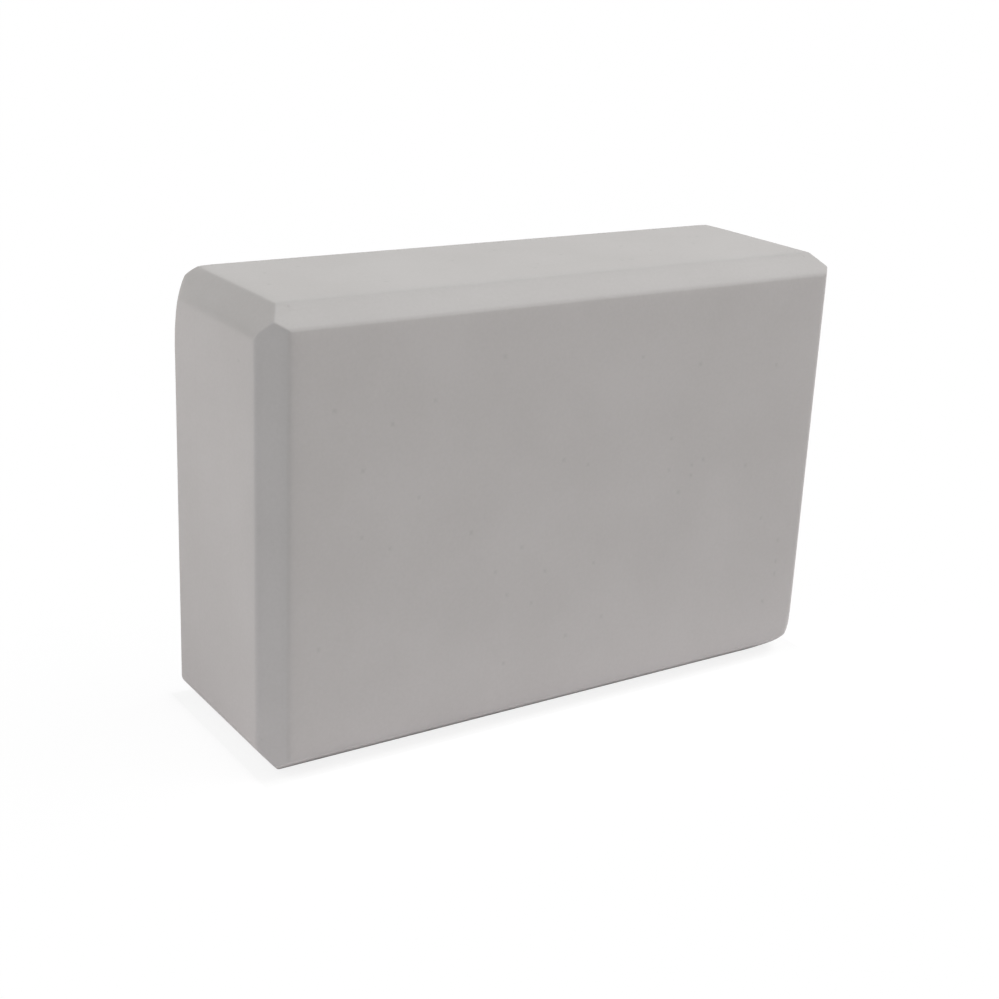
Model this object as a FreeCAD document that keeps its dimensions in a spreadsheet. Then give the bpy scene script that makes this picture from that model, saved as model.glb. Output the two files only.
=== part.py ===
import FreeCAD, Part
import math
import os

import Sketcher

# Foam yoga block, standing on a long narrow side.
# Three sheets of foam are bonded face to face, and the block is then chamfered on all its edges.
# The origin is under the middle of the block, +X runs along its length, +Y from the front face
# to the rear face, and +Z up. Millimetres.

doc = FreeCAD.newDocument("yoga_block")

# Driving sizes
SIZES = (
    ("block_length", 225.0, "long side of the two large faces"),
    ("block_height", 152.0, "short side of the two large faces"),
    ("ply_thickness", 24.9, "one sheet of foam"),
    ("bond_thickness", 0.15, "one film of adhesive"),
    ("long_edge_on_narrow_side", 8.2, "chamfer along the length, its reach over the narrow side"),
    ("long_edge_on_large_face", 6.4, "chamfer along the length, its reach over the large face"),
    ("upright_edge_on_large_face", 7.6, "chamfer along the height, its reach over the large face"),
    ("upright_edge_on_end_face", 7.5, "chamfer along the height, its reach over the end face"),
    ("short_edge_on_narrow_side", 7.8, "chamfer across the thickness, its reach over the narrow side"),
    ("short_edge_on_end_face", 9.3, "chamfer across the thickness, its reach over the end face"),
    ("mitre_radius", 3.0, "rounding where two chamfers meet at a corner"),
    ("crease_radius", 1.5, "rounding where a chamfer meets a face"),
    ("cut_overrun", 5.0, "how far a chamfering cut passes outside the foam"),
)
sheet = doc.addObject("Spreadsheet::Sheet", "sizes")
for row, (alias, value, meaning) in enumerate(SIZES, start=1):
    sheet.set(f"A{row}", meaning)
    sheet.set(f"B{row}", str(value))
    sheet.setAlias(f"B{row}", alias)
doc.recompute()

# How far the surface turns at an edge: next to nothing where it runs on smoothly, a quarter turn at
# the square edges of a bonded face, and about half of that where a chamfer begins.
SMOOTH_TURN = math.radians(15)
SQUARE_TURN = math.radians(80)


def origin_plane(body, role):
    return next(plane for plane in body.Origin.OriginFeatures if plane.Role == role)


def attach_sketch(body, name, role):
    """A new sketch on one of the body's own origin planes."""
    sketch = body.newObject("Sketcher::SketchObject", f"{body.Name}_{name}")
    sketch.AttachmentSupport = [(origin_plane(body, role), "")]
    sketch.MapMode = "FlatFace"
    return sketch


def draw_loop(sketch, points):
    """Straight lines through the points, closed, each end joined to the next start."""
    corners = [FreeCAD.Vector(u, v, 0) for u, v in points]
    lines = []
    for start, end in zip(corners, corners[1:] + corners[:1]):
        lines.append(sketch.addGeometry(Part.LineSegment(start, end), False))
    for line, following in zip(lines, lines[1:] + lines[:1]):
        sketch.addConstraint(Sketcher.Constraint("Coincident", line, 2, following, 1))
    return lines


def drive(sketch, kind, start, end, expression):
    """A distance between two sketch points, first as drawn, then bound to the sheet."""
    across = sketch.getPoint(*end) - sketch.getPoint(*start)
    drawn = across.x if kind == "DistanceX" else across.y
    if drawn < 0:
        start, end = end, start
    index = sketch.addConstraint(Sketcher.Constraint(kind, *start, *end, abs(drawn)))
    sketch.setExpression(f"Constraints[{index}]", expression)


def pad_outline(body, thickness):
    """The block's outline seen from the front, a rectangle with its four corners cut off, given
    a thickness towards the rear. The outline's middle is the body's origin."""
    sketch = attach_sketch(body, "outline", "XZ_Plane")
    half_length = sheet.block_length / 2
    half_height = sheet.block_height / 2
    run = sheet.short_edge_on_narrow_side
    drop = sheet.short_edge_on_end_face
    bottom, low_right, right, high_right, top, high_left, left, low_left = draw_loop(
        sketch,
        (
            (run - half_length, -half_height),
            (half_length - run, -half_height),
            (half_length, drop - half_height),
            (half_length, half_height - drop),
            (half_length - run, half_height),
            (run - half_length, half_height),
            (-half_length, half_height - drop),
            (-half_length, drop - half_height),
        ),
    )
    for line in (bottom, top):
        sketch.addConstraint(Sketcher.Constraint("Horizontal", line))
    for line in (left, right):
        sketch.addConstraint(Sketcher.Constraint("Vertical", line))
    sketch.addConstraint(Sketcher.Constraint("Symmetric", bottom, 1, top, 1, -1, 1))
    drive(sketch, "DistanceX", (left, 1), (right, 1), "sizes.block_length")
    drive(sketch, "DistanceY", (bottom, 1), (top, 1), "sizes.block_height")
    for corner in (low_right, high_right, high_left, low_left):
        drive(sketch, "DistanceX", (corner, 1), (corner, 2), "sizes.short_edge_on_narrow_side")
        drive(sketch, "DistanceY", (corner, 1), (corner, 2), "sizes.short_edge_on_end_face")

    pad = body.newObject("PartDesign::Pad", f"{body.Name}_pad")
    pad.Profile = sketch
    pad.Reversed = True
    pad.setExpression("Length", thickness)
    doc.recompute()
    return pad


def past_foam(reach, other_reach):
    """The leg of a chamfering cut, as an expression: the chamfer's reach over one face, drawn out
    along its own slope and past the foam by the overrun."""
    return f"sizes.{reach} * (1 + sizes.cut_overrun / sizes.{other_reach}) + sizes.cut_overrun"


def chamfer_pair(body, base, edges, sketch_role, reaches, corner, mirror_role):
    """Chamfers one edge of the outer face and the edge opposite, straight through from end to end,
    so that the chamfers meet in mitres. The reaches lie along the sketch's two axes, and corner is
    how far the cut's outer corner lies out from the body's origin, along the same two."""
    sketch = attach_sketch(body, f"{edges}_profile", sketch_role)
    width, depth = (sheet.getPropertyByName(reach) for reach in reaches)
    lines = draw_loop(sketch, ((-width, -depth), (0, -depth), (-width, 0)))
    foot, side = lines[0], lines[2]
    sketch.addConstraint(Sketcher.Constraint("Horizontal", foot))
    sketch.addConstraint(Sketcher.Constraint("Vertical", side))
    drive(sketch, "DistanceX", (foot, 1), (foot, 2), past_foam(*reaches))
    drive(sketch, "DistanceY", (side, 2), (side, 1), past_foam(*reversed(reaches)))
    drive(sketch, "DistanceX", (foot, 1), (-1, 1), corner[0])
    drive(sketch, "DistanceY", (foot, 1), (-1, 1), corner[1])

    pocket = body.newObject("PartDesign::Pocket", f"{body.Name}_{edges}_cut")
    pocket.Profile = sketch
    pocket.Type = "ThroughAll"
    pocket.SideType = "Symmetric"
    doc.recompute()

    opposite = body.newObject("PartDesign::Mirrored", f"{body.Name}_{edges}_opposite")
    opposite.Originals = [pocket]
    opposite.MirrorPlane = (origin_plane(body, mirror_role), [""])
    body.Tip = opposite
    doc.recompute()

    volumes = [feature.Shape.Volume for feature in (base, pocket, opposite)]
    if not volumes[0] > volumes[1] > volumes[2]:
        raise RuntimeError(f"{opposite.Name} took no foam away: {volumes}")
    return opposite


def is_square(face):
    """Whether a face is flat and square to an axis, as a sheet's faces and ends are."""
    if not isinstance(face.Surface, Part.Plane):
        return False
    return Part.Precision.angular() > min(
        face.Surface.Axis.getAngle(direction)
        for axis in (FreeCAD.Vector(1, 0, 0), FreeCAD.Vector(0, 1, 0), FreeCAD.Vector(0, 0, 1))
        for direction in (axis, -axis)
    )


def kind_of(edge, shape):
    """A crease, where a chamfer meets a face, a mitre, where it meets another, or None for the edges
    that stay sharp or run on smoothly. A rounded face's own seam has one face."""
    faces = shape.ancestorsOfType(edge, Part.Face)
    if len(faces) == 1:
        return None
    middle = edge.valueAt((edge.FirstParameter + edge.LastParameter) / 2)
    one, other = (face.normalAt(*face.Surface.parameter(middle)) for face in faces)
    if not SMOOTH_TURN < one.getAngle(other) < SQUARE_TURN:
        return None
    return "crease" if any(is_square(face) for face in faces) else "mitre"


def round_edges(body, base, name):
    """Rounds every crease or every mitre, to its own radius."""
    chosen = [
        f"Edge{number}"
        for number, edge in enumerate(base.Shape.Edges, start=1)
        if kind_of(edge, base.Shape) == name
    ]
    fillet = body.newObject("PartDesign::Fillet", f"{body.Name}_{name}")
    fillet.Base = (base, chosen)
    fillet.setExpression("Radius", f"sizes.{name}_radius")
    body.Tip = fillet
    doc.recompute()
    return fillet


def place(body, from_middle, turn=0):
    """Stands the body at the block's middle height, at a distance from the block's middle plane."""
    upright = FreeCAD.Vector(0, 0, 1)
    body.Placement = FreeCAD.Placement(FreeCAD.Vector(), FreeCAD.Rotation(upright, turn))
    body.setExpression("Placement.Base.y", from_middle)
    body.setExpression("Placement.Base.z", "sizes.block_height / 2")


def outer_ply(name):
    """A sheet of foam with one of the two large faces, chamfered all round that face."""
    body = doc.addObject("PartDesign::Body", name)
    past_face = "sizes.cut_overrun"
    past_end = "sizes.block_length / 2 + sizes.cut_overrun"
    past_side = "sizes.block_height / 2 + sizes.cut_overrun"
    foam = pad_outline(body, "sizes.ply_thickness")
    upright_reaches = ("upright_edge_on_large_face", "upright_edge_on_end_face")
    foam = chamfer_pair(
        body, foam, "upright_edge", "XY_Plane", upright_reaches, (past_end, past_face), "YZ_Plane"
    )
    long_reaches = ("long_edge_on_narrow_side", "long_edge_on_large_face")
    foam = chamfer_pair(
        body, foam, "long_edge", "YZ_Plane", long_reaches, (past_face, past_side), "XY_Plane"
    )
    foam = round_edges(body, foam, "mitre")
    round_edges(body, foam, "crease")
    return body


def inner_layer(name, thickness):
    """A layer inside the block: only its rim shows, as a band round the block."""
    body = doc.addObject("PartDesign::Body", name)
    round_edges(body, pad_outline(body, thickness), "crease")
    return body


# Outer sheets, the rear one a front one turned round
half_block = "1.5 * sizes.ply_thickness + sizes.bond_thickness"
front_ply = outer_ply("front_ply")
place(front_ply, f"-({half_block})")
rear_ply = outer_ply("rear_ply")
place(rear_ply, half_block, turn=180)

# Middle sheet
core_ply = inner_layer("core_ply", "sizes.ply_thickness")
place(core_ply, "-sizes.ply_thickness / 2")

# Adhesive films, each filling the gap between two sheets
front_bond_film = inner_layer("front_bond_film", "sizes.bond_thickness")
place(front_bond_film, "-sizes.ply_thickness / 2 - sizes.bond_thickness")
rear_bond_film = inner_layer("rear_bond_film", "sizes.bond_thickness")
place(rear_bond_film, "sizes.ply_thickness / 2")

doc.recompute()
pieces = (front_ply, front_bond_film, core_ply, rear_bond_film, rear_ply)

# Every object is sound, and every piece is one closed solid
for item in doc.Objects:
    if "Invalid" in item.State or "Error" in item.State:
        raise RuntimeError(f"{item.Name} failed: {item.State}")
for piece in pieces:
    if piece.Shape.isNull() or not piece.Shape.isValid() or len(piece.Shape.Solids) != 1:
        raise RuntimeError(f"{piece.Label} is not one sound solid")

os.makedirs("parts", exist_ok=True)
for piece in pieces:
    piece.Shape.exportStep(f"parts/{piece.Label}.step")
    box = piece.Shape.BoundBox
    print(f"{piece.Label}: {piece.Shape.Volume:.1f} mm3, Y {box.YMin:.2f} to {box.YMax:.2f}")
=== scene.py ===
import itertools
import math
import random

import bmesh
import bpy
from mathutils import Matrix, Vector, noise


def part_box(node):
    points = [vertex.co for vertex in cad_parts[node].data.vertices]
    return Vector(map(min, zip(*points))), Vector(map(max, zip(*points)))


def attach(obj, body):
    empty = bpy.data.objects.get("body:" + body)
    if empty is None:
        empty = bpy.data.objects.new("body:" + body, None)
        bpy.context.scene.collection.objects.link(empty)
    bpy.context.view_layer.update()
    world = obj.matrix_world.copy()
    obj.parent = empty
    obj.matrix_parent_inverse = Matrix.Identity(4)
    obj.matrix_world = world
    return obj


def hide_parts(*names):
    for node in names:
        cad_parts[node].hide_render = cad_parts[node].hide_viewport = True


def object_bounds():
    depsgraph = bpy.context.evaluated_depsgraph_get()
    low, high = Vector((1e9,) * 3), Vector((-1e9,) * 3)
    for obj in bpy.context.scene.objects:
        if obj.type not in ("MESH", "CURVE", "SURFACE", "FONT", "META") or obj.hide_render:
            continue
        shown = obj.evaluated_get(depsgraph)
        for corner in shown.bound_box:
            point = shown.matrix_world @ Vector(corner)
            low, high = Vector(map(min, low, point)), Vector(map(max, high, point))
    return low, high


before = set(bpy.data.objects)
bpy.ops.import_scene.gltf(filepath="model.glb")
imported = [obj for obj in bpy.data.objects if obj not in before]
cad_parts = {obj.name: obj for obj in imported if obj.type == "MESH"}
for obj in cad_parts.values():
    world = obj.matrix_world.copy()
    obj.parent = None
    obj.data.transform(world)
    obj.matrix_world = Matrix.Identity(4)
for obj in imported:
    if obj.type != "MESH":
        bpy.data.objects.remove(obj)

cad_low, cad_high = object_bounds()

# Outside of the block. Three sheets of foam are bonded into one block first, and a knife then planes
# its twelve edges off from end to end, so that the chamfers meet in mitres at the corners. The foam
# sinks a little beside every crease, and handling has worn four of the corners.
X, Y, Z = range(3)
BLOCK_MIDDLE = (cad_low + cad_high) / 2
BLOCK_HALF = (cad_high - cad_low) / 2
CUT_TOLERANCE = 1e-7
# Least part of a normal along an axis that counts as facing it
FACING_LEAST = 0.001
# Reach of each chamfer inwards along the two axes across it, and of the three edges where the knife
# went otherwise, which are named by their faces' axes and signs
CHAMFER_REACHES = {
    (X, Y): (0.0076, 0.0075),
    (Y, Z): (0.0082, 0.0064),
    (X, Z): (0.0078, 0.0093),
}
EDGE_REACHES = {
    ((Y, -1), (Z, 1)): (0.0096, 0.0060),
    ((X, -1), (Z, 1)): (0.0078, 0.0086),
    ((X, -1), (Y, 1)): (0.0100, 0.0078),
}
# Half-width of the rounding between a face, named by its axis, and the chamfer towards another face
CREASE_ROUNDINGS = {
    (X, Y): 0.0009,
    (Y, X): 0.0010,
    (Y, Z): 0.0010,
    (Z, Y): 0.0008,
    (X, Z): 0.0019,
    (Z, X): 0.0006,
}
MITRE_ROUNDING = 0.0007
ROUNDING_STEPS = 5
# Depth over which the flats run into one another at a corner, and how far from the worst of it they
# do. The worn corners are named by their signs, and given how much the wear leans to the end face.
CRISP_SOFTNESS = 0.0003
WORN_SOFTNESS = 0.0016
WORN_SPREAD = 0.011
WORN_CORNERS = {
    (1, -1, -1): 1,
    (-1, 1, 1): 10,
    (1, 1, -1): 10,
    (1, 1, 1): 10,
}
# How far a face sinks at its creases, and the distance over which it rises again
SHOULDER_DROP = 0.0003
SHOULDER_REACH = 0.0020
# Depth of the sawn foam's unevenness, and the size of its waves
RELIEF_DEPTH = 0.00005
RELIEF_SPAN = 0.030
# Edges that let the flats bend, given by their spacing and by their places inwards from a crease
NET_SPACING = 0.005
NET_BESIDE_CREASE = (-0.0050, -0.0025, 0.0018, 0.0032, 0.0050, 0.0080)
# How far the painted shade reaches from a crease, and the size of its patches
PAINTED_SHADE_REACH = 0.0013
PAINTED_SHADE_SPAN = 0.045
# Pores are dents in net cells that are nearly square, each moved aside by up to a share of its rim
PORE_COUNT = 130
PORE_WIDTHS = (0.0004, 0.0009)
PORE_DEPTH_TO_WIDTH = 0.30
PORE_RIM_TO_WIDTH = 1.7
PORE_CELL_STRETCH = 1.3
PORE_ASIDE = 0.5
PORE_SEED = 11
# Least part of a normal along both axes across a chamfer, and greatest part along the chamfer
CHAMFER_TILT = 0.45
CHAMFER_SLANT = 0.2


def plane_off(block, point, outward):
    """Cuts away what lies outward of a plane through the point, and closes the cut."""
    bmesh.ops.bisect_plane(
        block,
        geom=block.verts[:] + block.edges[:] + block.faces[:],
        dist=CUT_TOLERANCE,
        plane_co=point,
        plane_no=outward,
        clear_outer=True,
    )
    rim = [edge for edge in block.edges if edge.is_boundary]
    bmesh.ops.edgeloop_fill(block, edges=rim)


def reaches_at(pair, signs):
    """How far the chamfer between the two faces of these axes and signs reaches along each axis."""
    edge = tuple((axis, signs[axis]) for axis in pair)
    return EDGE_REACHES.get(edge, CHAMFER_REACHES[pair])


def chamfer_plane(pair, signs):
    """A point on the chamfer between the two faces of these axes and signs, and the way out of it."""
    outward = Vector()
    point = BLOCK_MIDDLE.copy()
    for axis, reach in zip(pair, reaches_at(pair, signs)):
        outward[axis] = signs[axis] / reach
        point[axis] += signs[axis] * (BLOCK_HALF[axis] - reach / 2)
    return point, outward.normalized()


def planed_block():
    """The sharp block: sawn square, and its edges planed off."""
    block = bmesh.new()
    square = Matrix.Translation(BLOCK_MIDDLE) @ Matrix.Diagonal((*(2 * BLOCK_HALF), 1))
    bmesh.ops.create_cube(block, size=1, matrix=square)
    for pair in CHAMFER_REACHES:
        for pair_signs in itertools.product((-1, 1), repeat=2):
            plane_off(block, *chamfer_plane(pair, dict(zip(pair, pair_signs))))
    block.normal_update()
    return block


def corner_flats(signs):
    """The planes of the three faces and three chamfers that meet at one corner."""
    flats = [chamfer_plane(pair, signs) for pair in CHAMFER_REACHES]
    for axis in (X, Y, Z):
        outward = Vector()
        outward[axis] = signs[axis]
        flats.append((BLOCK_MIDDLE + outward * BLOCK_HALF[axis], outward))
    return flats


def corner_points(block):
    """For the signs of each corner: the point where it is softest, its softness and its flats."""
    corners = {}
    for signs in itertools.product((-1, 1), repeat=3):
        lean = WORN_CORNERS.get(signs, 1)
        aim = Vector((lean * signs[X], signs[Y], signs[Z]))
        softest = max((vert.co for vert in block.verts), key=aim.dot)
        softness = WORN_SOFTNESS if signs in WORN_CORNERS else CRISP_SOFTNESS
        corners[signs] = (softest.copy(), softness, corner_flats(signs))
    return corners


def facing_axes(face):
    """The axes that a flat of the sharp block faces: one for a face and two for a chamfer."""
    return [axis for axis in (X, Y, Z) if abs(face.normal[axis]) > FACING_LEAST]


def rounding_at(edge):
    """Half-width of the rounding along one edge of the sharp block."""
    fewer, more = sorted((facing_axes(face) for face in edge.link_faces), key=len)
    if len(fewer) == 2:
        return MITRE_ROUNDING
    (face_axis,) = fewer
    other_axis = next(axis for axis in more if axis != face_axis)
    return CREASE_ROUNDINGS[face_axis, other_axis]


def rounded(block):
    """The block with each edge rounded by its own width, as a new bmesh."""
    widest = max(CREASE_ROUNDINGS.values())
    weight = block.edges.layers.float.new("bevel_weight_edge")
    for edge in block.edges:
        edge[weight] = rounding_at(edge) / widest
    mesh = bpy.data.meshes.new("planed_block")
    block.to_mesh(mesh)
    block.free()
    blank = bpy.data.objects.new("planed_block", mesh)
    bpy.context.scene.collection.objects.link(blank)
    bevel = blank.modifiers.new("rounding", "BEVEL")
    bevel.limit_method = "WEIGHT"
    bevel.width = widest
    bevel.segments = ROUNDING_STEPS
    bevel.profile = 0.5
    depsgraph = bpy.context.evaluated_depsgraph_get()
    shaped = bmesh.new()
    shaped.from_object(blank, depsgraph)
    bpy.data.objects.remove(blank)
    bpy.data.meshes.remove(mesh)
    return shaped


def net_lines(axis):
    """Where the net crosses one axis, from the low end: evenly, and closer beside each crease."""
    length = 2 * BLOCK_HALF[axis]
    cells = round(length / NET_SPACING)
    lines = [length * line / cells for line in range(1, cells)]
    for pair, reaches in CHAMFER_REACHES.items():
        if axis in pair:
            crease = reaches[pair.index(axis)]
            for beside in NET_BESIDE_CREASE:
                lines += [crease + beside, length - crease - beside]
    return lines


def net_over(block):
    """Crosses every flat with a net of edges, so that it can bend."""
    for axis in (X, Y, Z):
        across = Vector()
        across[axis] = 1
        for line in net_lines(axis):
            bmesh.ops.bisect_plane(
                block,
                geom=block.verts[:] + block.edges[:] + block.faces[:],
                dist=CUT_TOLERANCE,
                plane_co=cad_low + across * line,
                plane_no=across,
            )
    block.normal_update()


def open_pores(block):
    """Dents a few net cells where the saw cut a larger cell of the foam open, each dent somewhere
    in its net cell, and marks the bottom of it for painted shade."""
    painted_shade = block.verts.layers.float.new("painted_shade")
    chance = random.Random(PORE_SEED)
    square_cells = {}
    for face in block.faces:
        sides = [edge.calc_length() for edge in face.edges]
        wide = min(sides) > PORE_RIM_TO_WIDTH * PORE_WIDTHS[1]
        if len(sides) == 4 and wide and max(sides) < PORE_CELL_STRETCH * min(sides):
            square_cells[face] = min(sides)
    for cell in chance.sample(list(square_cells), PORE_COUNT):
        width = chance.uniform(*PORE_WIDTHS)
        rim = PORE_RIM_TO_WIDTH * width
        bmesh.ops.inset_individual(block, faces=[cell], thickness=(square_cells[cell] - rim) / 2)
        share = chance.uniform(-PORE_ASIDE, PORE_ASIDE)
        aside = (cell.verts[1].co - cell.verts[0].co) * share
        bmesh.ops.translate(block, verts=cell.verts[:], vec=aside)
        bmesh.ops.inset_individual(block, faces=[cell], thickness=(rim - width) / 2)
        inward = -cell.normal
        for bottom in bmesh.ops.poke(block, faces=[cell])["verts"]:
            bottom.co += inward * (PORE_DEPTH_TO_WIDTH * width)
            # The bottom of the pore gets the full painted shade
            bottom[painted_shade] = 1
    block.normal_update()


def nearer_faces(point):
    """The sign of the nearer face on each axis."""
    return tuple(1 if away > 0 else -1 for away in point - BLOCK_MIDDLE)


def insets(point):
    """How far a point lies inwards from the nearer face on each axis."""
    away = point - BLOCK_MIDDLE
    return [BLOCK_HALF[axis] - abs(away[axis]) for axis in (X, Y, Z)]


def crease_inset(signs, face_axis, other_axis):
    """How far in from another face a face meets the chamfer between the two."""
    pair = tuple(sorted((face_axis, other_axis)))
    return reaches_at(pair, signs)[pair.index(other_axis)]


def crease_distance(point):
    """How far a point on the outside is from the nearest crease between a face and a chamfer."""
    deep = insets(point)
    signs = nearer_faces(point)
    return min(
        math.hypot(deep[face], deep[other] - crease_inset(signs, face, other))
        for face, other in itertools.permutations((X, Y, Z), 2)
    )


def sinking(point):
    """How far the foam lies below the knife's planes: all along the chamfers, less and less on a
    face with the distance from its creases, and with the faint unevenness of sawn foam."""
    deep = insets(point)
    signs = nearer_faces(point)
    face = deep.index(min(deep))
    inside = min(
        deep[other] - crease_inset(signs, face, other) for other in (X, Y, Z) if other != face
    )
    shoulder = SHOULDER_DROP * math.exp(-max(0, inside) / SHOULDER_REACH)
    height = point.z - cad_low.z
    uneven = RELIEF_DEPTH * noise.noise(point / RELIEF_SPAN) * min(1, height / RELIEF_SPAN)
    return shoulder + uneven


def worn_away(point, corners):
    """What handling takes off at a point: the flats of the nearest corner run into one another,
    over a depth that falls off with the distance from its softest point. A point that the rounding
    has already taken below the flats loses that much less."""
    softest, softness, flats = corners[nearer_faces(point)]
    softness *= math.exp(-(((point - softest).length / WORN_SPREAD) ** 2))
    if softness < CUT_TOLERANCE:
        return Vector()
    heights = [outward.dot(point - on_flat) for on_flat, outward in flats]
    highest = max(heights)
    shares = [math.exp((height - highest) / softness) for height in heights]
    way = sum((share * outward for share, (_, outward) in zip(shares, flats)), Vector())
    return way.normalized() * max(0, highest + softness * math.log(sum(shares)))


def settle(block, corners):
    """Lets the net sink beside the creases and wears the corners down."""
    for vert in block.verts:
        vert.co -= vert.normal * sinking(vert.co) + worn_away(vert.co, corners)
    block.normal_update()


def mark_planing(block):
    """Notes on each face of a chamfer the way that the knife went along it."""
    planing = block.faces.layers.float_vector.new("planing")
    for face in block.faces:
        sizes = [abs(part) for part in face.normal]
        along = sizes.index(min(sizes))
        across = [size for axis, size in enumerate(sizes) if axis != along]
        if min(across) > CHAMFER_TILT and sizes[along] < CHAMFER_SLANT:
            face[planing][along] = 1


def mark_painted_shade(block):
    """Notes at each point how much painted shade darkens it: most on the creases, and unevenly along
    them.
    """
    painted_shade = block.verts.layers.float["painted_shade"]
    for vert in block.verts:
        patchy = (1 + noise.noise(vert.co / PAINTED_SHADE_SPAN)) / 2
        vert[painted_shade] += patchy * math.exp(-crease_distance(vert.co) / PAINTED_SHADE_REACH)


block_outside = planed_block()
worn_corners = corner_points(block_outside)
block_outside = rounded(block_outside)
net_over(block_outside)
open_pores(block_outside)
# Painted shade along the creases, patchy along their length
mark_painted_shade(block_outside)
settle(block_outside, worn_corners)
mark_planing(block_outside)


# Middle sheet. Closed-cell EVA foam split to an inch from a thicker slab, light warm grey and matt,
# bonded between the two outer sheets. Only its rim shows, as a band round the block.
FOAM_LIGHT = (0.452, 0.434, 0.427, 1)
FOAM_SHADE = (0.428, 0.410, 0.402, 1)
FOAM_ROUGHNESS = (0.86, 0.94)
FOAM_GLOSS = 0.25
FOAM_SHEEN = 0.05
FOAM_SHEEN_ROUGHNESS = 0.5
# Darkest tone of the painted shade along the creases and at the bottoms of the pores
PAINTED_SHADE_TONE = 0.90
# The foam's patterns, by how many of their marks go to a metre and how finely they are broken up
CLOUDS = {"Scale": 28.0, "Detail": 3.0}
SPECKS = {"Scale": 900.0, "Detail": 2.0}
GRAIN = {"Scale": 2600.0, "Detail": 2.0}
STREAKS = {"Scale": 700.0, "Detail": 2.0}
CELLS = {"Scale": 1500.0}
# Where most of a noise lies, and where most of the tone lies, which is the clouds and some specks
NOISE_SPREAD = (0.3, 0.7)
TONE_SPREAD = (0.55, 0.95)
SPECKS_IN_TONE = 0.5
CELLS_IN_SKIN = 0.6
# Part of a streak's way along the chamfer that is left out, which draws it long
STREAK_SQUEEZE = 0.97
STREAK_DEPTH = 0.0001
SKIN_DEPTH = 0.00006
BUMP_STRENGTH = 0.25
SHARP_ANGLE = math.radians(60)


def set_inputs(material, node, inputs):
    """Sets a node's inputs to values, or links them to other nodes' outputs."""
    for name, value in inputs.items():
        if isinstance(value, bpy.types.NodeSocket):
            material.node_tree.links.new(value, node.inputs[name])
        else:
            node.inputs[name].default_value = value


def add_node(material, kind, inputs=None, **settings):
    """A new node, with its settings made and its inputs set."""
    node = material.node_tree.nodes.new(kind)
    for name, value in settings.items():
        setattr(node, name, value)
    set_inputs(material, node, inputs or {})
    return node


def noted(material, name):
    """What the mesh notes under this name."""
    return add_node(
        material, "ShaderNodeAttribute", attribute_type="GEOMETRY", attribute_name=name
    ).outputs


def noise_over(material, place, pattern):
    """A noise over the place, with the scale and the detail of a pattern."""
    return add_node(material, "ShaderNodeTexNoise", {"Vector": place, **pattern}).outputs["Fac"]


def reckoned(material, operation, *values):
    """The outcome of a sum on single values."""
    node = add_node(material, "ShaderNodeMath", dict(enumerate(values)), operation=operation)
    return node.outputs[0]


def reckoned_on_vectors(material, operation, *vectors):
    """The outputs of a sum on vectors: Vector or Value, as the sum gives."""
    node = add_node(
        material, "ShaderNodeVectorMath", dict(enumerate(vectors)), operation=operation
    )
    return node.outputs


def carried_over(material, value, ends, spread=(0, 1)):
    """A value that goes from one end to the other while another one crosses its spread."""
    return add_node(
        material,
        "ShaderNodeMapRange",
        {
            "Value": value,
            "From Min": spread[0],
            "From Max": spread[1],
            "To Min": ends[0],
            "To Max": ends[1],
        },
    ).outputs["Result"]


def coloured(material, value, colours, spread=(0, 1)):
    """A colour that goes from one to the other while a value crosses its spread."""
    node = add_node(material, "ShaderNodeValToRGB", {"Fac": value})
    for end, position, colour in zip(node.color_ramp.elements, spread, colours):
        end.position = position
        end.color = colour
    return node.outputs["Color"]


def new_finish(name):
    """A new material, and its surface."""
    material = bpy.data.materials.new(name)
    material.use_nodes = True
    return material, material.node_tree.nodes["Principled BSDF"]


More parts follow.
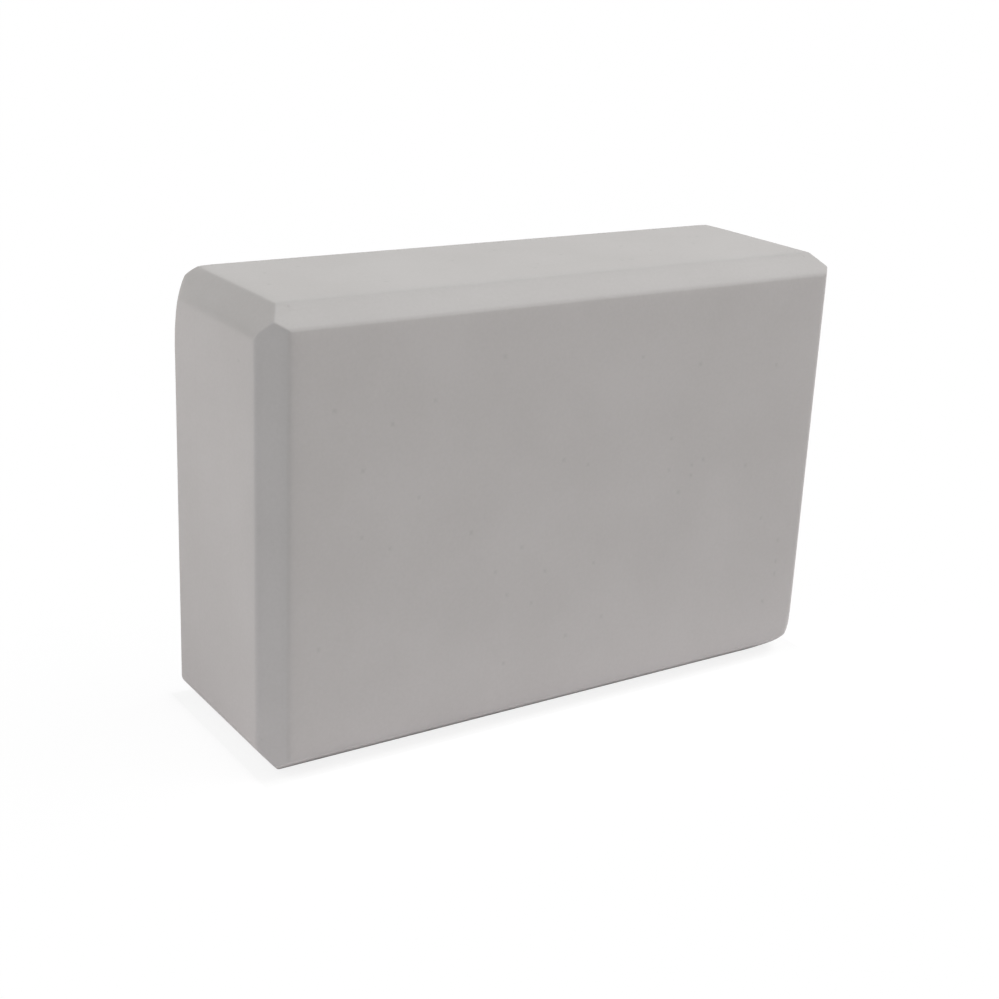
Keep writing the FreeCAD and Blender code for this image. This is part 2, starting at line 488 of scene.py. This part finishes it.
def eva_foam():
    """Matt foam: clouded colour, fine closed cells cut open as pores, and knife streaks along the
    chamfers."""
    foam, surface = new_finish("eva_foam")
    place = add_node(foam, "ShaderNodeTexCoord").outputs["Object"]
    planing = noted(foam, "planing")["Vector"]
    painted_shade = noted(foam, "painted_shade")["Fac"]

    clouds = noise_over(foam, place, CLOUDS)
    specks = noise_over(foam, place, SPECKS)
    tone = reckoned(foam, "MULTIPLY_ADD", specks, SPECKS_IN_TONE, clouds)
    colour = coloured(foam, tone, (FOAM_SHADE, FOAM_LIGHT), TONE_SPREAD)
    # Painted shade: the colour is darker along the creases and at the bottoms of the pores
    painted_shading = carried_over(foam, painted_shade, (1, PAINTED_SHADE_TONE))
    shaded_colour = add_node(
        foam, "ShaderNodeHueSaturation", {"Color": colour, "Value": painted_shading}
    ).outputs["Color"]

    cells = add_node(foam, "ShaderNodeTexVoronoi", {"Vector": place, **CELLS}).outputs["Distance"]
    grain = noise_over(foam, place, GRAIN)
    skin = reckoned(foam, "MULTIPLY_ADD", cells, CELLS_IN_SKIN, grain)

    along = reckoned_on_vectors(foam, "DOT_PRODUCT", place, planing)["Value"]
    run = add_node(
        foam, "ShaderNodeVectorMath", {0: planing, "Scale": along}, operation="SCALE"
    ).outputs["Vector"]
    squeeze = (-STREAK_SQUEEZE, -STREAK_SQUEEZE, -STREAK_SQUEEZE)
    squeezed = reckoned_on_vectors(foam, "MULTIPLY_ADD", run, squeeze, place)["Vector"]
    streaks = noise_over(foam, squeezed, STREAKS)
    cut_here = reckoned_on_vectors(foam, "LENGTH", planing)["Value"]
    cuts = reckoned(foam, "MULTIPLY", streaks, cut_here)

    streaked = add_node(
        foam,
        "ShaderNodeBump",
        {"Height": cuts, "Strength": BUMP_STRENGTH, "Distance": STREAK_DEPTH},
    ).outputs["Normal"]
    bumped = add_node(
        foam,
        "ShaderNodeBump",
        {"Height": skin, "Strength": BUMP_STRENGTH, "Distance": SKIN_DEPTH, "Normal": streaked},
    ).outputs["Normal"]
    set_inputs(
        foam,
        surface,
        {
            "Base Color": shaded_colour,
            "Roughness": carried_over(foam, clouds, FOAM_ROUGHNESS, NOISE_SPREAD),
            "Normal": bumped,
            "Specular IOR Level": FOAM_GLOSS,
            "Sheen Weight": FOAM_SHEEN,
            "Sheen Roughness": FOAM_SHEEN_ROUGHNESS,
        },
    )
    return foam


def part_layer(name, low, high, material):
    """The slice of the block between two bond planes, or between one of them and a large face, as
    the piece that stands for the node of that name."""
    layer = block_outside.copy()
    if high < cad_high.y:
        plane_off(layer, Vector((0, high, 0)), Vector((0, 1, 0)))
    if low > cad_low.y:
        plane_off(layer, Vector((0, low, 0)), Vector((0, -1, 0)))
    layer.normal_update()
    for face in layer.faces:
        face.smooth = True
    for edge in layer.edges:
        if edge.calc_face_angle() > SHARP_ANGLE:
            edge.smooth = False
    mesh = bpy.data.meshes.new(name)
    layer.to_mesh(mesh)
    layer.free()
    mesh.materials.append(material)
    piece = bpy.data.objects.new(name, mesh)
    bpy.context.scene.collection.objects.link(piece)
    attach(piece, "root")
    return piece


foam_finish = eva_foam()


def foam_sheet(node):
    """One sheet of foam in the place of its node."""
    low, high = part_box(node)
    sheet = part_layer(f"{node}_foam", low.y, high.y, foam_finish)
    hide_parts(node)


foam_sheet("core_ply")


# Adhesive films. Contact adhesive rolled on both sheets and pressed, set to a thin skin close to the
# foam's own colour, so that its rim is only a hairline round the block.
ADHESIVE_THICK = (0.408, 0.391, 0.381, 1)
ADHESIVE_THIN = (0.422, 0.405, 0.395, 1)
ADHESIVE_ROUGHNESS = (0.7, 0.9)
SQUEEZE = {"Scale": 600.0, "Detail": 2.0}


def set_adhesive():
    """Dull set adhesive, a little uneven where it was squeezed out and trimmed."""
    adhesive, surface = new_finish("set_adhesive")
    place = add_node(adhesive, "ShaderNodeTexCoord").outputs["Object"]
    squeeze = noise_over(adhesive, place, SQUEEZE)
    set_inputs(
        adhesive,
        surface,
        {
            "Base Color": coloured(adhesive, squeeze, (ADHESIVE_THICK, ADHESIVE_THIN)),
            "Roughness": carried_over(adhesive, squeeze, ADHESIVE_ROUGHNESS, NOISE_SPREAD),
        },
    )
    return adhesive


adhesive_finish = set_adhesive()
for node in ("front_bond_film", "rear_bond_film"):
    film_low, film_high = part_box(node)
    film = part_layer(f"{node}_adhesive", film_low.y, film_high.y, adhesive_finish)
    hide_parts(node)


# Outer sheets. The same foam as the middle one, each with one of the block's two large faces and the
# chamfers round it. They are bonded on before the edges are planed.
foam_sheet("front_ply")
foam_sheet("rear_ply")


# Floor. A wide sheet of white paper that the block stands on, with a painted glow close round the
# block that stands in for light thrown back onto its lower faces. It fades to plain white away from
# the block and keeps the block's soft shadow.
FLOOR_HALF = 4.0
FLOOR_COLOUR = (0.88, 0.88, 0.88, 1)
FLOOR_ROUGHNESS = 0.9
# The painted glow, and the distances from the block over which it starts and falls off
FLOOR_GLOW = 0.40
GLOW_COLOUR = (1.0, 0.90, 1.0, 1)
GLOW_START = 0.0008
GLOW_REACH = 0.020
# How white the camera sees the floor at the block, and the distance over which it turns plain white
WHITE_AT_BLOCK = 0.85
SHADOW_REACH = 0.010


def seen_by_camera(material):
    """1 for what the camera sees, by itself or in a reflection, and 0 for light on the block."""
    path = add_node(material, "ShaderNodeLightPath").outputs
    mirrored = reckoned(material, "MAXIMUM", path["Is Glossy Ray"], path["Is Transmission Ray"])
    return reckoned(material, "MAXIMUM", path["Is Camera Ray"], mirrored)


def share_beyond(material, distance, reach):
    """A share that grows with the distance from 0 towards 1, and is a half at the reach."""
    further = reckoned(material, "ADD", distance, reach)
    return reckoned(material, "DIVIDE", distance, further)


def blended(material, share, first, second):
    """A look that goes from the first to the second as the share goes from 0 to 1."""
    return add_node(
        material, "ShaderNodeMixShader", {"Fac": share, 1: first, 2: second}
    ).outputs["Shader"]


def white_paper():
    """Matt white paper with a painted glow close to the block, and whiter for the camera with the
    distance from it."""
    paper, sheet = new_finish("white_paper")
    place = add_node(paper, "ShaderNodeTexCoord").outputs["Object"]
    aside = reckoned_on_vectors(paper, "ABSOLUTE", place)["Vector"]
    footprint = (BLOCK_HALF.x, BLOCK_HALF.y, 0)
    outside = reckoned_on_vectors(paper, "SUBTRACT", aside, footprint)["Vector"]
    clear = reckoned_on_vectors(paper, "MAXIMUM", outside, (0, 0, 0))["Vector"]
    away = reckoned_on_vectors(paper, "LENGTH", clear)["Value"]

    # Painted glow of the paper, which lights the block's lower faces and falls off away from the
    # block
    falling = carried_over(paper, share_beyond(paper, away, GLOW_REACH), (FLOOR_GLOW, 0))
    glow = reckoned(paper, "MULTIPLY", falling, share_beyond(paper, away, GLOW_START))
    set_inputs(
        paper,
        sheet,
        {
            "Base Color": FLOOR_COLOUR,
            "Roughness": FLOOR_ROUGHNESS,
            "Emission Color": GLOW_COLOUR,
            "Emission Strength": glow,
        },
    )

    fade = carried_over(paper, share_beyond(paper, away, SHADOW_REACH), (WHITE_AT_BLOCK, 1))
    whiteness = reckoned(paper, "MULTIPLY", seen_by_camera(paper), fade)
    white = add_node(paper, "ShaderNodeEmission", {"Strength": 1}).outputs["Emission"]
    look = blended(paper, whiteness, sheet.outputs["BSDF"], white)
    set_inputs(paper, paper.node_tree.nodes["Material Output"], {"Surface": look})
    return paper


floor_shape = bmesh.new()
bmesh.ops.create_grid(floor_shape, x_segments=1, y_segments=1, size=FLOOR_HALF)
floor_mesh = bpy.data.meshes.new("floor")
floor_shape.to_mesh(floor_mesh)
floor_shape.free()
floor_mesh.materials.append(white_paper())
floor = bpy.data.objects.new("floor", floor_mesh)
bpy.context.scene.collection.objects.link(floor)


# Light. Large soft boxes to the right, on the left and low behind on the left, with only a weak one
# towards the front, so that the side which faces the camera is the dimmest.
LIGHT_DISTANCE = 3.5
BOX_WIDTH = 2.2
ROOM_COLOUR = (1, 1, 1, 1)
ROOM_LIGHT = 0.01


def soft_box(name, azimuth, elevation, power, colour):
    """A square soft box that faces the block's middle. Azimuth 0 is in front of the block, and 90 is
    to its right."""
    turn, tilt = math.radians(azimuth), math.radians(elevation)
    way = Vector(
        (math.sin(turn) * math.cos(tilt), -math.cos(turn) * math.cos(tilt), math.sin(tilt))
    )
    lamp = bpy.data.lights.new(name, "AREA")
    lamp.shape = "SQUARE"
    lamp.size = BOX_WIDTH
    lamp.energy = power
    lamp.color = colour
    box = bpy.data.objects.new(name, lamp)
    box.location = BLOCK_MIDDLE + LIGHT_DISTANCE * way
    box.rotation_mode = "QUATERNION"
    box.rotation_quaternion = way.to_track_quat("Z", "Y")
    bpy.context.scene.collection.objects.link(box)


soft_box("right_box", azimuth=75, elevation=50, power=108.0, colour=(0.955, 0.99, 1.0))
soft_box("front_right_box", azimuth=45, elevation=45, power=36.5, colour=(1.0, 0.88, 0.865))
soft_box("high_left_box", azimuth=-75, elevation=60, power=31.0, colour=(0.865, 1.0, 0.93))
soft_box("left_box", azimuth=-90, elevation=30, power=39.0, colour=(0.96, 0.925, 1.0))
soft_box("low_rear_box", azimuth=-150, elevation=8, power=53.0, colour=(1.0, 0.915, 0.84))

room = bpy.data.worlds.new("room")
room.use_nodes = True
bpy.context.scene.world = room
dim_room = room.node_tree.nodes["Background"]
set_inputs(room, dim_room, {"Color": ROOM_COLOUR, "Strength": ROOM_LIGHT})
white_room = add_node(room, "ShaderNodeBackground", {"Color": ROOM_COLOUR, "Strength": 1})
room_look = blended(
    room,
    seen_by_camera(room),
    dim_room.outputs["Background"],
    white_room.outputs["Background"],
)
set_inputs(room, room.node_tree.nodes["World Output"], {"Surface": room_look})


# Camera. Stands to the left of the block's front and a little above it, as in the photograph. Its
# turn is in degrees, and its lens and sensor are in millimetres.
CAMERA_PLACE = (-0.31538, -0.46080, 0.26378)
CAMERA_TURN = (70.463, -2.499, -33.124)
CAMERA_LENS = 60.60
SENSOR_WIDTH = 36.0

view = bpy.data.cameras.new("camera")
view.sensor_width = SENSOR_WIDTH
view.lens = CAMERA_LENS
camera = bpy.data.objects.new("camera", view)
camera.location = CAMERA_PLACE
camera.rotation_euler = [math.radians(turn) for turn in CAMERA_TURN]
bpy.context.scene.collection.objects.link(camera)
bpy.context.scene.camera = camera
bpy.context.scene.view_settings.view_transform = "Standard"
